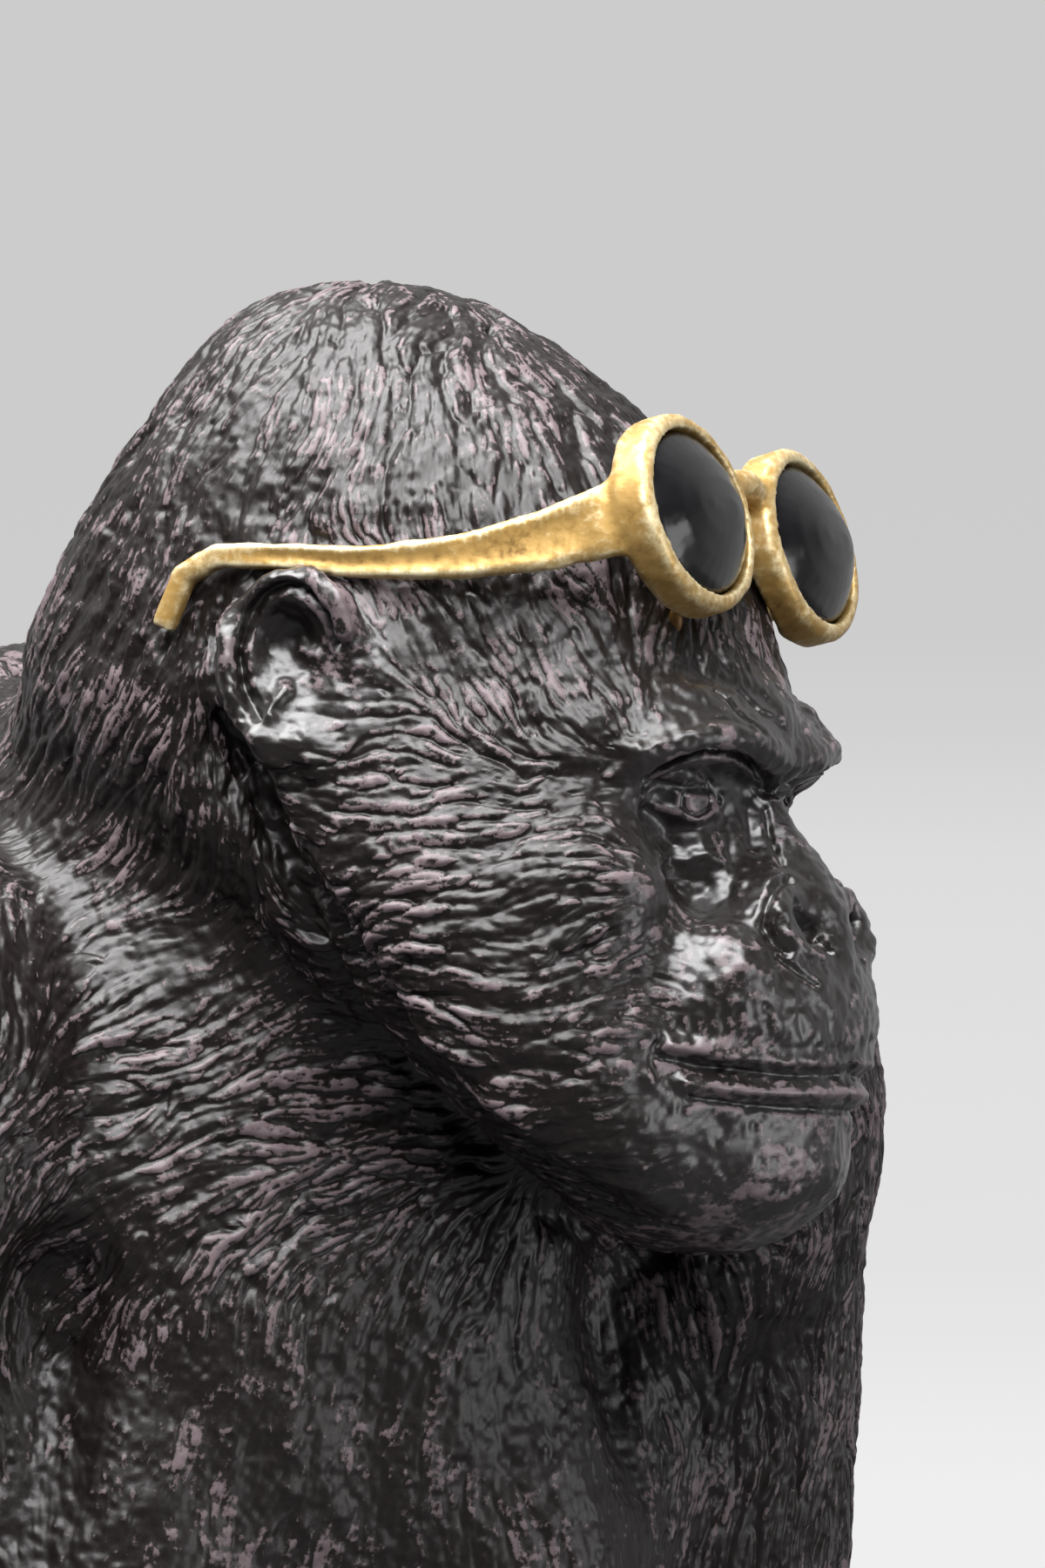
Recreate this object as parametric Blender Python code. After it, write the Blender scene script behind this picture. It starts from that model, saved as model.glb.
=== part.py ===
"""Gorilla figurine with sunglasses: a resin casting on its knuckles, with a glued-on frame and two lenses.

The gorilla faces -Y with its head turned to its own left, +X. It is built as a sculptor builds clay:
big masses first, then muscles, then features, each layer fused and smoothed before the next one.
"""

import math

import bmesh
import bpy
import numpy as np
from mathutils import Matrix, Vector

# Driving sizes, in metres and degrees
SHOULDER_WIDTH = 0.190
SHOULDER_HEIGHT = 0.325
BODY_LENGTH = 0.350
HEAD_WIDTH = 0.084
HEAD_LENGTH = 0.122
HEAD_HEIGHT = 0.130
HEAD_TURN = 40.0
HEAD_ROLL = 3.0

LENS_WIDTH = 0.0270
LENS_HEIGHT = 0.0216
LENS_CROWN = 0.0042
LENS_EDGE = 0.0018
LENS_SPACING = 0.0378
LENS_LEAN = 13.0
LENS_WRAP = 2.0
RIM_WIDTH = 0.0022
RIM_DEPTH = 0.0060
LEDGE_WIDTH = 0.0016
BRIDGE_THICKNESS = 0.0042
GLASSES_TILT = 1.6
TEMPLE_FRONT_HEIGHT = 0.0105
TEMPLE_BACK_HEIGHT = 0.0036
TEMPLE_THICKNESS = 0.0030
GLUE_GAP = 0.0003
BODY_TRIANGLES = 11100

# The body and the head are each laid out on a grid of parts, as a sculptor scales up from a drawing
BODY_GRID = Matrix.Diagonal((SHOULDER_WIDTH / 190, BODY_LENGTH / 350, SHOULDER_HEIGHT / 325, 1))
HEAD_GRID = Matrix.Diagonal((HEAD_WIDTH / 84, HEAD_LENGTH / 122, HEAD_HEIGHT / 130, 1))
HEAD_FRAME = (
    Matrix.Translation(BODY_GRID @ Vector((12, -38, 324.5)))
    @ Matrix.Rotation(math.radians(HEAD_TURN), 4, "Z")
    @ Matrix.Rotation(math.radians(HEAD_ROLL), 4, "Y")
)
HEAD = HEAD_FRAME @ HEAD_GRID
BOTH_SIDES = (1, -1)


def ball(clay, grid, at, half, tilt=0.0):
    """An egg of clay at a place on the grid, with its three half sizes, tilted about the side axis."""
    turn = Matrix.Rotation(math.radians(tilt), 4, "X")
    place = grid @ Matrix.Translation(at) @ turn @ Matrix.Diagonal((*half, 1))
    bmesh.ops.create_icosphere(clay, subdivisions=3, radius=1, matrix=place)


def roll(clay, grid, *stations):
    """A tapered roll of clay through stations of x, y, z and radius, rounded at each."""
    for x, y, z, radius in stations:
        ball(clay, grid, (x, y, z), (radius, radius, radius))
    for start, end in zip(stations, stations[1:]):
        a, b = Vector(start[:3]), Vector(end[:3])
        along = b - a
        place = Matrix.Translation((a + b) / 2) @ along.to_track_quat("Z", "Y").to_matrix().to_4x4()
        bmesh.ops.create_cone(
            clay,
            cap_ends=True,
            segments=24,
            radius1=start[3],
            radius2=end[3],
            depth=along.length,
            matrix=grid @ place,
        )


def skin_over(clay, rings):
    """A closed skin over a row of rings of points, capped at both ends."""
    rows = [[clay.verts.new(point) for point in ring] for ring in rings]
    faces = [clay.faces.new(rows[0]), clay.faces.new(rows[-1])]
    for row, following in zip(rows, rows[1:]):
        for i in range(len(row)):
            j = (i + 1) % len(row)
            faces.append(clay.faces.new((row[i], row[j], following[j], following[i])))
    bmesh.ops.recalc_face_normals(clay, faces=faces)


def fused(clay, voxel, rounds, name="clay"):
    """The lumps of clay as one skin, smoothed for a number of rounds."""
    mesh = bpy.data.meshes.new(name)
    clay.to_mesh(mesh)
    clay.free()
    lump = bpy.data.objects.new(name, mesh)
    bpy.context.scene.collection.objects.link(lump)
    fuse = lump.modifiers.new("Fuse", "REMESH")
    fuse.mode = "VOXEL"
    fuse.voxel_size = voxel
    smooth = lump.modifiers.new("Smooth", "SMOOTH")
    smooth.factor = 0.5
    smooth.iterations = rounds
    return lump


def settled(lump):
    """The mesh of an object with its modifiers applied, as new clay. The object is removed."""
    graph = bpy.context.evaluated_depsgraph_get()
    clay = bmesh.new()
    clay.from_object(lump, graph)
    bpy.data.objects.remove(lump)
    return clay


def skull(clay):
    """The head from crown to chin: at each height the front, the back, the half width and where it is widest."""
    levels = (
        (66.0, -2, -18, 8, -10),
        (63.5, 8, -25, 15, -9),
        (60.0, 13, -29, 20, -8),
        (54.0, 23, -34, 25.5, -7),
        (47.0, 31, -38, 29.5, -6),
        (40.0, 38, -44, 33, -5),
        (33.0, 43, -48, 35, -4),
        (25.0, 47, -52, 36.5, -3),
        (16.0, 50, -57, 38, -2),
        (6.0, 50, -57, 40, 2),
        (-4.0, 50, -44, 41.5, 6),
        (-14.0, 51, -24, 43, 14),
        (-24.0, 53, -9, 43.5, 20),
        (-33.0, 55, 2, 43, 24),
        (-42.0, 56, 11, 41, 28),
        (-51.0, 55, 21, 36, 32),
        (-58.0, 52, 30, 29, 36),
        (-63.0, 46, 37, 19, 40),
    )
    rings = []
    for z, front, back, half, widest in levels:
        ring = []
        for step in range(36):
            angle = math.tau * step / 36
            reach = front - widest if math.cos(angle) > 0 else widest - back
            aside = math.copysign(abs(math.sin(angle)) ** 0.88, math.sin(angle))
            ahead = math.copysign(abs(math.cos(angle)) ** 0.88, math.cos(angle))
            point = Vector((half * aside, -widest - reach * ahead, z))
            ring.append(HEAD @ point)
        rings.append(ring)
    skin_over(clay, rings)


def trunk(clay):
    """The trunk from breast to rump: at each distance back the top, the belly line and the half width."""
    levels = (
        (-50, 296, 226, 22),
        (-42, 312, 206, 42),
        (-24, 330, 190, 56),
        (5, 337, 176, 66),
        (42, 342, 166, 70),
        (80, 337, 158, 71),
        (120, 318, 150, 71),
        (160, 292, 144, 69),
        (198, 274, 142, 64),
        (230, 250, 144, 52),
        (256, 216, 160, 28),
    )
    rings = []
    for y, top, bottom, half in levels:
        ring = []
        for step in range(36):
            angle = math.tau * step / 36
            point = Vector((half * math.sin(angle), y, (top + bottom) / 2 + (top - bottom) / 2 * math.cos(angle)))
            ring.append(BODY_GRID @ point)
        rings.append(ring)
    skin_over(clay, rings)


def big_masses():
    """Skull, trunk, neck and limbs."""
    clay = bmesh.new()
    skull(clay)
    trunk(clay)
    roll(clay, BODY_GRID, (0, 26, 290, 52), (3, -4, 302, 45), (8, -22, 312, 38))
    for side in BOTH_SIDES:
        roll(
            clay, BODY_GRID,
            (side * 57, -10, 282, 32), (side * 63, -9, 246, 29), (side * 66, -7, 215, 25.5),
            (side * 68, 0, 172, 25), (side * 66, -6, 112, 26), (side * 62, -14, 60, 20),
        )
        roll(
            clay, BODY_GRID,
            (side * 30, 205, 190, 56), (side * 56, 172, 118, 42), (side * 66, 152, 90, 32),
            (side * 63, 192, 52, 23), (side * 61, 210, 30, 18),
        )
    return clay


def muscles(clay):
    """What lies under the coat: shoulders, breast and haunches, then the brow, cheeks, muzzle and chin."""
    ball(clay, BODY_GRID, (0, 54, 296), (48, 56, 50), -14)
    for side in BOTH_SIDES:
        ball(clay, BODY_GRID, (side * 58, -14, 276), (33, 37, 44))
        ball(clay, BODY_GRID, (side * 28, -27, 224), (29, 22, 47), -4)
        ball(clay, BODY_GRID, (side * 66, -4, 140), (27, 30, 52))
        ball(clay, BODY_GRID, (side * 40, 206, 176), (38, 56, 58))
        ball(clay, BODY_GRID, (side * 65, -16, 42), (22, 19, 30))
        ball(clay, BODY_GRID, (side * 62, 206, 20), (19, 26, 20))
        roll(clay, BODY_GRID, (side * 63, 200, 14, 15), (side * 72, 150, 13, 19), (side * 76, 128, 11, 17))
    # The brow is a low bar over both eyes
    roll(clay, HEAD, (-28, -38, 3, 5), (-16, -46, 4, 7), (0, -48.5, 5, 7.5), (16, -46, 4, 7), (28, -38, 3, 5))
    for side in BOTH_SIDES:
        ball(clay, HEAD, (side * 25, -32, -17), (15, 17, 13))
    ball(clay, HEAD, (0, -42, -34), (27, 24, 20))
    ball(clay, HEAD, (0, -42, -49), (22, 22, 16))
    return clay


def features(clay):
    """Fingers, toes, ears, nose and lips."""
    for side in BOTH_SIDES:
        for finger in range(4):
            x = side * (45 + finger * 11.5)
            bend = 3 * abs(finger - 1.3)
            roll(clay, BODY_GRID, (x, -26 + bend, 40, 7.5), (x, -38 + bend, 18, 7.5), (x, -20 + bend, 6, 7.5))
        roll(clay, BODY_GRID, (side * 46, -8, 40, 8), (side * 38, -20, 26, 6.5))
        for toe in range(4):
            x = side * (68 + toe * 10)
            roll(clay, BODY_GRID, (x, 140, 11, 8), (x + side * 2, 108 + 5 * toe, 7, 7 - 0.5 * toe))
        roll(clay, BODY_GRID, (side * 58, 160, 12, 11), (side * 46, 132, 9, 10), (side * 42, 120, 7, 8))
        ear(clay, side)
    # Nose: bridge, pad and wings
    roll(clay, HEAD, (0, -45, 2, 6), (0, -48.5, -8, 5.5), (0, -53, -15, 7))
    ball(clay, HEAD, (0, -54.8, -21.5), (11, 9, 8.5))
    for side in BOTH_SIDES:
        ball(clay, HEAD, (side * 9, -53.4, -21), (7, 7.6, 7.6))
    # Lips: a long upper one and a shorter lower one
    roll(
        clay, HEAD,
        (-23, -48, -37.5, 3), (-14, -56.5, -37, 4), (0, -61, -36, 4.6), (14, -56.5, -37, 4), (23, -48, -37.5, 3),
    )
    roll(
        clay, HEAD,
        (-22, -48, -42.5, 2.5), (-13, -56, -42.5, 3.4), (0, -60.4, -42.5, 3.8), (13, -56, -42.5, 3.4),
        (22, -48, -42.5, 2.5),
    )
    return clay


def ear(clay, side):
    """A round ear: a disc against the head with a thick rolled rim round its back and top."""
    middle = Vector((side * 38, -1, 11))
    ball(clay, HEAD, middle, (5, 9, 11.5), -10)
    rim = []
    for step in range(9):
        angle = math.radians(-70 + 34 * step)
        rim.append((
            middle.x + side * 4.0,
            middle.y + 8.8 * math.sin(angle),
            middle.z + 11.5 * math.cos(angle),
            2.6,
        ))
    roll(clay, HEAD, *rim)


def carve(lump, grid, depth, width, *places):
    """A stroke of the tool through the places, dug in by the depth, or raised where it is negative."""
    mesh = lump.data
    spots = np.empty(len(mesh.vertices) * 3)
    mesh.vertices.foreach_get("co", spots)
    spots = spots.reshape(-1, 3)
    normals = np.empty(len(mesh.vertices) * 3)
    mesh.vertex_normals.foreach_get("vector", normals)
    normals = normals.reshape(-1, 3)
    path = [np.array(grid @ Vector(place)) for place in places]
    nearest = np.full(len(spots), 9.0)
    for start, end in zip(path, path[1:] or path):
        run = end - start
        share = np.clip((spots - start) @ run / max(run @ run, 1e-12), 0, 1)
        away = spots - start - share[:, None] * run
        nearest = np.minimum(nearest, np.linalg.norm(away, axis=1))
    push = depth * grid.median_scale * np.exp(-((nearest / (width * grid.median_scale)) ** 2))
    spots -= normals * push[:, None]
    mesh.vertices.foreach_set("co", spots.ravel())
    mesh.update()


def strokes(gorilla):
    """Tool work on the fused clay: sockets, folds, lips, nostrils, jaw line, breast and back."""
    carve(gorilla, BODY_GRID, 5, 6, (0, -56, 240), (0, -54, 212), (0, -42, 186))
    carve(gorilla, BODY_GRID, 3, 14, (0, 30, 350), (0, 110, 324), (0, 190, 280))
    for side in BOTH_SIDES:
        carve(gorilla, BODY_GRID, 8, 7, (side * 42, -44, 256), (side * 43, -40, 228), (side * 41, -26, 196))
        carve(
            gorilla, HEAD, 7, 4.6,
            (side * 40, 10, 0), (side * 39, 3, -14), (side * 38, -9, -33), (side * 31, -28, -54),
            (side * 22, -40, -64),
        )
        carve(gorilla, HEAD, 2, 8, (side * 38, -26, 10))
        # Eye: a ledge of brow, the socket under it, the ball of the eye and the hollow below
        carve(gorilla, HEAD, -2.2, 3.2, (side * 24, -44, -1), (side * 17, -50, 2), (side * 8, -54, 0))
        carve(gorilla, HEAD, 4.6, 3.4, (side * 22, -46, -6.5), (side * 15, -51, -5), (side * 8, -54, -6))
        carve(gorilla, HEAD, -3, 2.8, (side * 15, -47, -6))
        carve(gorilla, HEAD, 3.4, 4.6, (side * 20, -48, -12), (side * 17, -51, -17))
        # Muzzle: its swelling beside the nose, the fold behind it, the wing and the nostril
        carve(gorilla, HEAD, -2, 7, (side * 17, -54, -28))
        carve(gorilla, HEAD, 1.6, 3.5, (side * 22, -49, -22), (side * 29, -44, -33), (side * 27, -46, -43))
        carve(gorilla, HEAD, -1.8, 3, (side * 11, -57, -16), (side * 14, -56, -21), (side * 11, -59, -25))
        carve(gorilla, HEAD, 1.8, 2.2, (side * 14, -53, -13), (side * 18, -55, -20), (side * 14, -60, -28))
        carve(gorilla, HEAD, 4.5, 2.5, (side * 6.5, -61, -21.5))
        # Ear: the hollow inside the rolled rim
        carve(gorilla, HEAD, 4.5, 5.5, (side * 44, -3, 12))
    carve(
        gorilla, HEAD, 2.6, 1.7,
        (-24, -50, -39.6), (-14, -60, -39.8), (0, -65, -39.8), (14, -60, -39.8), (24, -50, -39.6),
    )
    carve(gorilla, HEAD, 2.0, 3.5, (-13, -58, -47.5), (0, -62, -47.5), (13, -58, -47.5))


def cast_gorilla():
    """The finished body, thinned to a light mesh and cut flat under its hands and feet."""
    clay = settled(fused(big_masses(), 0.003, 14))
    clay = settled(fused(muscles(clay), 0.0022, 8))
    gorilla = fused(features(clay), 0.0016, 3)
    clay = settled(gorilla)
    gorilla = placed(clay, "gorilla")
    strokes(gorilla)
    coarse = gorilla.vertex_groups.new(name="coarse")
    for vertex in gorilla.data.vertices:
        away = (vertex.co - HEAD_FRAME.translation).length
        coarse.add([vertex.index], min(1.0, max(0.2, away / HEAD_WIDTH - 0.6)), "REPLACE")
    thin = gorilla.modifiers.new("Thin", "DECIMATE")
    thin.ratio = BODY_TRIANGLES / (2 * len(gorilla.data.polygons))
    thin.vertex_group = "coarse"
    thin.vertex_group_factor = 0.004
    clay = settled(gorilla)
    flat = bmesh.ops.bisect_plane(
        clay,
        geom=clay.verts[:] + clay.edges[:] + clay.faces[:],
        dist=0.00001,
        plane_co=(0, 0, 0),
        plane_no=(0, 0, 1),
        clear_inner=True,
    )
    rims = [part for part in flat["geom_cut"] if isinstance(part, bmesh.types.BMEdge)]
    soles = bmesh.ops.holes_fill(clay, edges=rims, sides=0)["faces"]
    bmesh.ops.triangulate(clay, faces=soles)
    return placed(clay, "gorilla")


def placed(clay, name):
    """Clay as a plain named object."""
    mesh = bpy.data.meshes.new(name)
    clay.to_mesh(mesh)
    clay.free()
    piece = bpy.data.objects.new(name, mesh)
    bpy.context.scene.collection.objects.link(piece)
    return piece


def lens_place(side):
    """Where a lens sits: its middle on the forehead, leaning back, with its outer side swept back."""
    return (
        HEAD_FRAME
        @ Matrix.Translation(HEAD_GRID @ Vector((0, -46.8, 31)))
        @ Matrix.Rotation(math.radians(GLASSES_TILT), 4, "Y")
        @ Matrix.Translation((side * LENS_SPACING / 2, 0, 0))
        @ Matrix.Rotation(math.radians(side * LENS_WRAP), 4, "Z")
        @ Matrix.Rotation(math.radians(-LENS_LEAN), 4, "X")
    )


def ovals(side, stations):
    """Rings round a lens: each station is a distance outside the lens edge and a depth behind it."""
    place = lens_place(side)
    rings = []
    for outside, depth in stations:
        ring = []
        for step in range(32):
            angle = math.tau * step / 32
            across = (LENS_WIDTH / 2 + outside) * math.cos(angle)
            up = (LENS_HEIGHT / 2 + outside) * math.sin(angle)
            ring.append(place @ Vector((across, depth, up)))
        rings.append(ring)
    return rings


def temple(clay, side):
    """A flat arm from the rim back over the ear, tapering, with a hook behind it."""
    plane = HEAD_FRAME @ Matrix.Translation(HEAD_GRID @ Vector((0, -46.8, 31)))
    plane = plane @ Matrix.Rotation(math.radians(GLASSES_TILT), 4, "Y")
    hinge = LENS_SPACING / 2 + LENS_WIDTH / 2 + RIM_WIDTH - TEMPLE_THICKNESS / 2
    spread = HEAD_WIDTH / 84
    back = HEAD_LENGTH / 122
    rise = HEAD_HEIGHT / 130
    path = [
        (hinge - TEMPLE_THICKNESS, 1 * back, -1 * rise, 0.0),
        (hinge, 4 * back, -2 * rise, 0.05),
        ((hinge + 35 * spread) / 2, 12 * back, -4.6 * rise, 0.3),
        (36 * spread, 24 * back, -7 * rise, 0.65),
        (37.4 * spread, 38 * back, -7.6 * rise, 0.88),
        (38.4 * spread, 48 * back, -6.8 * rise, 1.0),
        (38.2 * spread, 58 * back, -6.6 * rise, 1.0),
        (37.6 * spread, 63 * back, -9 * rise, 1.0),
        (37.4 * spread, 66 * back, -16 * rise, 1.0),
    ]
    rings = []
    for i, (x, y, z, share) in enumerate(path):
        before, after = path[max(i - 1, 0)], path[min(i + 1, len(path) - 1)]
        run = Vector((0, after[1] - before[1], after[2] - before[2])).normalized()
        edge = Vector((0, -run.z, run.y))
        height = TEMPLE_FRONT_HEIGHT + (TEMPLE_BACK_HEIGHT - TEMPLE_FRONT_HEIGHT) * share
        ring = []
        for step in range(16):
            angle = math.tau * step / 16
            across = math.copysign(abs(math.cos(angle)) ** 0.6, math.cos(angle)) * TEMPLE_THICKNESS / 2
            up = math.copysign(abs(math.sin(angle)) ** 0.6, math.sin(angle)) * height / 2
            ring.append(plane @ (Vector((side * (x + across), y, z)) + edge * up))
        rings.append(ring)
    skin_over(clay, rings)


def glasses(gorilla):
    """The frame, cast in one piece and trimmed to seat on the head, and a domed lens in each rim."""
    front = -LENS_EDGE * 1.5
    back = front + RIM_DEPTH
    round_off = RIM_WIDTH * 0.4
    clay = bmesh.new()
    for side in BOTH_SIDES:
        outside = GLUE_GAP + RIM_WIDTH
        rim = (
            (outside - round_off, front), (outside, front + round_off),
            (outside, back - round_off), (outside - round_off, back),
        )
        skin_over(clay, ovals(side, rim))
        temple(clay, side)
    middle = HEAD_FRAME @ Matrix.Translation(HEAD_GRID @ Vector((0, -46.8, 31)))
    middle = middle @ Matrix.Rotation(math.radians(GLASSES_TILT), 4, "Y")
    reach = LENS_SPACING / 2 - LENS_WIDTH / 2 + RIM_WIDTH
    bar = BRIDGE_THICKNESS / 2
    high, low = LENS_HEIGHT * 0.24, -LENS_HEIGHT * 0.02
    roll(clay, middle, (-reach, 0.001, high, bar), (0, 0, high + bar / 2, bar), (reach, 0.001, high, bar))
    roll(clay, middle, (-reach, 0.002, low, bar * 0.6), (reach, 0.002, low, bar * 0.6))
    frame = fused(clay, 0.0006, 2)
    thin = frame.modifiers.new("Thin", "DECIMATE")
    thin.ratio = 0.035
    frame = placed(settled(frame), "glasses_frame")

    cutters = []
    for side in BOTH_SIDES:
        pocket = bmesh.new()
        skin_over(pocket, ovals(side, ((GLUE_GAP, -RIM_DEPTH * 2), (GLUE_GAP, GLUE_GAP))))
        opening = bmesh.new()
        skin_over(opening, ovals(side, ((-LEDGE_WIDTH, -RIM_DEPTH), (-LEDGE_WIDTH, RIM_DEPTH * 3))))
        cutters += [placed(pocket, "pocket"), placed(opening, "opening")]
    seat = gorilla.copy()
    seat.data = gorilla.data.copy()
    bpy.context.scene.collection.objects.link(seat)
    stand_off = seat.modifiers.new("Stand off", "DISPLACE")
    stand_off.strength = GLUE_GAP
    stand_off.mid_level = 0
    cutters.append(placed(settled(seat), "seat"))
    for cutter in cutters:
        cut = frame.modifiers.new("Cut", "BOOLEAN")
        cut.operation = "DIFFERENCE"
        cut.solver = "EXACT"
        cut.object = cutter
    clay = settled(frame)
    for cutter in cutters:
        bpy.data.objects.remove(cutter)
    frame = placed(clay, "glasses_frame")

    lenses = []
    for side, name in ((1, "lens_left"), (-1, "lens_right")):
        domes = [(0, 0), (0, -LENS_EDGE)]
        for share in (0.88, 0.65, 0.36, 0.1):
            inside = (share - 1) * LENS_HEIGHT / 2
            domes.append((inside, -LENS_EDGE - LENS_CROWN * (1 - share * share)))
        clay = bmesh.new()
        skin_over(clay, ovals(side, domes))
        lenses.append(placed(clay, name))
    return [frame] + lenses


def finish(name, colour, roughness, metallic):
    """A plain paint for one piece."""
    material = bpy.data.materials.new(name)
    material.use_nodes = True
    surface = material.node_tree.nodes["Principled BSDF"]
    surface.inputs["Base Color"].default_value = (*colour, 1)
    surface.inputs["Roughness"].default_value = roughness
    surface.inputs["Metallic"].default_value = metallic
    return material


def build():
    for old in list(bpy.data.objects):
        bpy.data.objects.remove(old)
    gorilla = cast_gorilla()
    pieces = [gorilla] + glasses(gorilla)

    # The origin is under the middle of the figure, on the ground
    corners = np.array([vertex.co for vertex in gorilla.data.vertices])
    middle = (corners.min(axis=0) + corners.max(axis=0)) / 2
    for piece in pieces:
        piece.data.transform(Matrix.Translation((-middle[0], -middle[1], 0)))

    resin = finish("dark_resin", (0.045, 0.038, 0.038), 0.42, 0.0)
    gold = finish("gold_paint", (0.60, 0.40, 0.14), 0.34, 1.0)
    smoked = finish("black_gloss", (0.012, 0.012, 0.013), 0.16, 0.0)
    for piece, paint in zip(pieces, (resin, gold, smoked, smoked)):
        piece.data.materials.clear()
        piece.data.materials.append(paint)
        for face in piece.data.polygons:
            face.use_smooth = True


build()
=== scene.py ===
import itertools
import math

import bpy
import numpy as np
from mathutils import Matrix, Vector


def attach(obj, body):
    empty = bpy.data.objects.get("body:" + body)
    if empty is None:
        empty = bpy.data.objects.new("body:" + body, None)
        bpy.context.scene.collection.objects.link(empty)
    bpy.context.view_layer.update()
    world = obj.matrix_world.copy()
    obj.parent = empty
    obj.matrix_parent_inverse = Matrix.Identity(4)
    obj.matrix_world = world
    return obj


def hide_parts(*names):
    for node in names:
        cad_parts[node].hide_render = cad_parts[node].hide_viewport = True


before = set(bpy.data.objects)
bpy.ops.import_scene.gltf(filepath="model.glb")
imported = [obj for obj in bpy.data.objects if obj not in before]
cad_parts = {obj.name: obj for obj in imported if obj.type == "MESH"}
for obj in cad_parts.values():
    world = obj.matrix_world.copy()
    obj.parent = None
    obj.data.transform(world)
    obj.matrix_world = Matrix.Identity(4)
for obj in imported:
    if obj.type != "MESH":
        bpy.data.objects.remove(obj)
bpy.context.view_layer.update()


# Body casting
# The gorilla is one hollow polyresin casting, poured in a rubber mould from a hand-carved master.
# Its coat was cut into the clay with loop tools: tufts in overlapping rows, bare skin on the face and hands.

HEAD_MIDDLE = Vector((0.0119, -0.1205, 0.3245))
HEAD_TURN = 40.0
HEAD_ROLL = 3.0
VIEW_AZIMUTH = -25.0
CLAY_STEP = 0.00125
HEAD_RADIUS = 76
PICTURE_LEFT = -0.062
PICTURE_RIGHT = 0.090
PICTURE_BOTTOM = -0.112
EDGE_ON = -0.12
HEAD_PLACE = (
    Matrix.Translation(HEAD_MIDDLE)
    @ Matrix.Rotation(math.radians(HEAD_TURN), 4, "Z")
    @ Matrix.Rotation(math.radians(HEAD_ROLL), 4, "Y")
)
back = Vector((math.sin(math.radians(VIEW_AZIMUTH)), -math.cos(math.radians(VIEW_AZIMUTH)), 0))
right = Vector((-back.y, back.x, 0))


def deselect_all():
    for one in bpy.context.selected_objects:
        one.select_set(False)


def copy_of_node(node_name, name):
    """A merged copy of a CAD node, ready to be worked on, selected and active."""
    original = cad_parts[node_name]
    piece = original.copy()
    piece.data = original.data.copy()
    piece.name = piece.data.name = name
    piece.parent = None
    piece.matrix_world = original.matrix_world.copy()
    bpy.context.scene.collection.objects.link(piece)
    deselect_all()
    piece.select_set(True)
    bpy.context.view_layer.objects.active = piece
    bpy.ops.object.transform_apply(location=True, rotation=True, scale=True)
    bpy.ops.object.mode_set(mode="EDIT")
    bpy.ops.mesh.select_all(action="SELECT")
    bpy.ops.mesh.remove_doubles(threshold=0.00001)
    bpy.ops.object.mode_set(mode="OBJECT")
    return piece


def with_modifier(piece, kind, **settings):
    """One modifier, added and applied at once."""
    modifier = piece.modifiers.new(kind.title(), kind)
    for key, value in settings.items():
        setattr(modifier, key, value)
    bpy.context.view_layer.objects.active = piece
    bpy.ops.object.modifier_apply(modifier=modifier.name)


def points_of(mesh, what="vertices", key="co"):
    """A mesh's places or directions as rows of three numbers."""
    spots = np.empty(len(getattr(mesh, what)) * 3, dtype=np.float32)
    getattr(mesh, what).foreach_get(key, spots)
    return spots.reshape(-1, 3)


def in_head(spots):
    """Places in the head's own frame, in millimetres: to its left, forward, and up."""
    turned = HEAD_PLACE.to_3x3().inverted()
    local = (spots - np.array(HEAD_MIDDLE, dtype=np.float32)) @ np.array(turned, dtype=np.float32).T
    return local * np.array((1000, -1000, 1000), dtype=np.float32)


def ramp(low, high, value):
    """0 at the low value and 1 at the high one, with a smooth rise between."""
    share = np.clip((value - low) / (high - low), 0, 1)
    return share * share * (3 - 2 * share)


clay = copy_of_node("gorilla", "clay")
with_modifier(clay, "SUBSURF", levels=2, render_levels=2)
with_modifier(clay, "SMOOTH", factor=0.5, iterations=6)
with_modifier(clay, "REMESH", mode="VOXEL", voxel_size=CLAY_STEP * 1)
with_modifier(clay, "SMOOTH", factor=0.5, iterations=8)

# The head and front are cut twice as finely as the back and legs, and the photographed side four times
for times_finer in (2, 4):
    spots = points_of(clay.data)
    shown_at = (spots - np.array(HEAD_MIDDLE)) @ np.array(right)
    in_view = (shown_at > PICTURE_LEFT) & (shown_at < PICTURE_RIGHT) & (spots[:, 1] < 0.0)
    in_view &= spots[:, 2] - HEAD_MIDDLE.z > PICTURE_BOTTOM
    if times_finer == 2:
        fine = (np.linalg.norm(in_head(spots), axis=1) < HEAD_RADIUS) | in_view
    else:
        fine = in_view & (points_of(clay.data, "vertex_normals", "vector") @ np.array(back) > EDGE_ON)
    bpy.ops.object.mode_set(mode="EDIT")
    bpy.ops.mesh.select_mode(type="VERT")
    bpy.ops.mesh.select_all(action="DESELECT")
    bpy.ops.object.mode_set(mode="OBJECT")
    clay.data.vertices.foreach_set("select", fine)
    bpy.ops.object.mode_set(mode="EDIT")
    bpy.ops.mesh.subdivide(number_cuts=1, smoothness=0)
    bpy.ops.object.mode_set(mode="OBJECT")


def links_of(mesh):
    """The two vertices of each edge, and how many edges meet at each vertex."""
    ends = np.empty(len(mesh.edges) * 2, dtype=np.int32)
    mesh.edges.foreach_get("vertices", ends)
    meeting = np.bincount(ends, minlength=len(mesh.vertices)).astype(np.float32)
    return ends.reshape(-1, 2), meeting[:, None]


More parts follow.
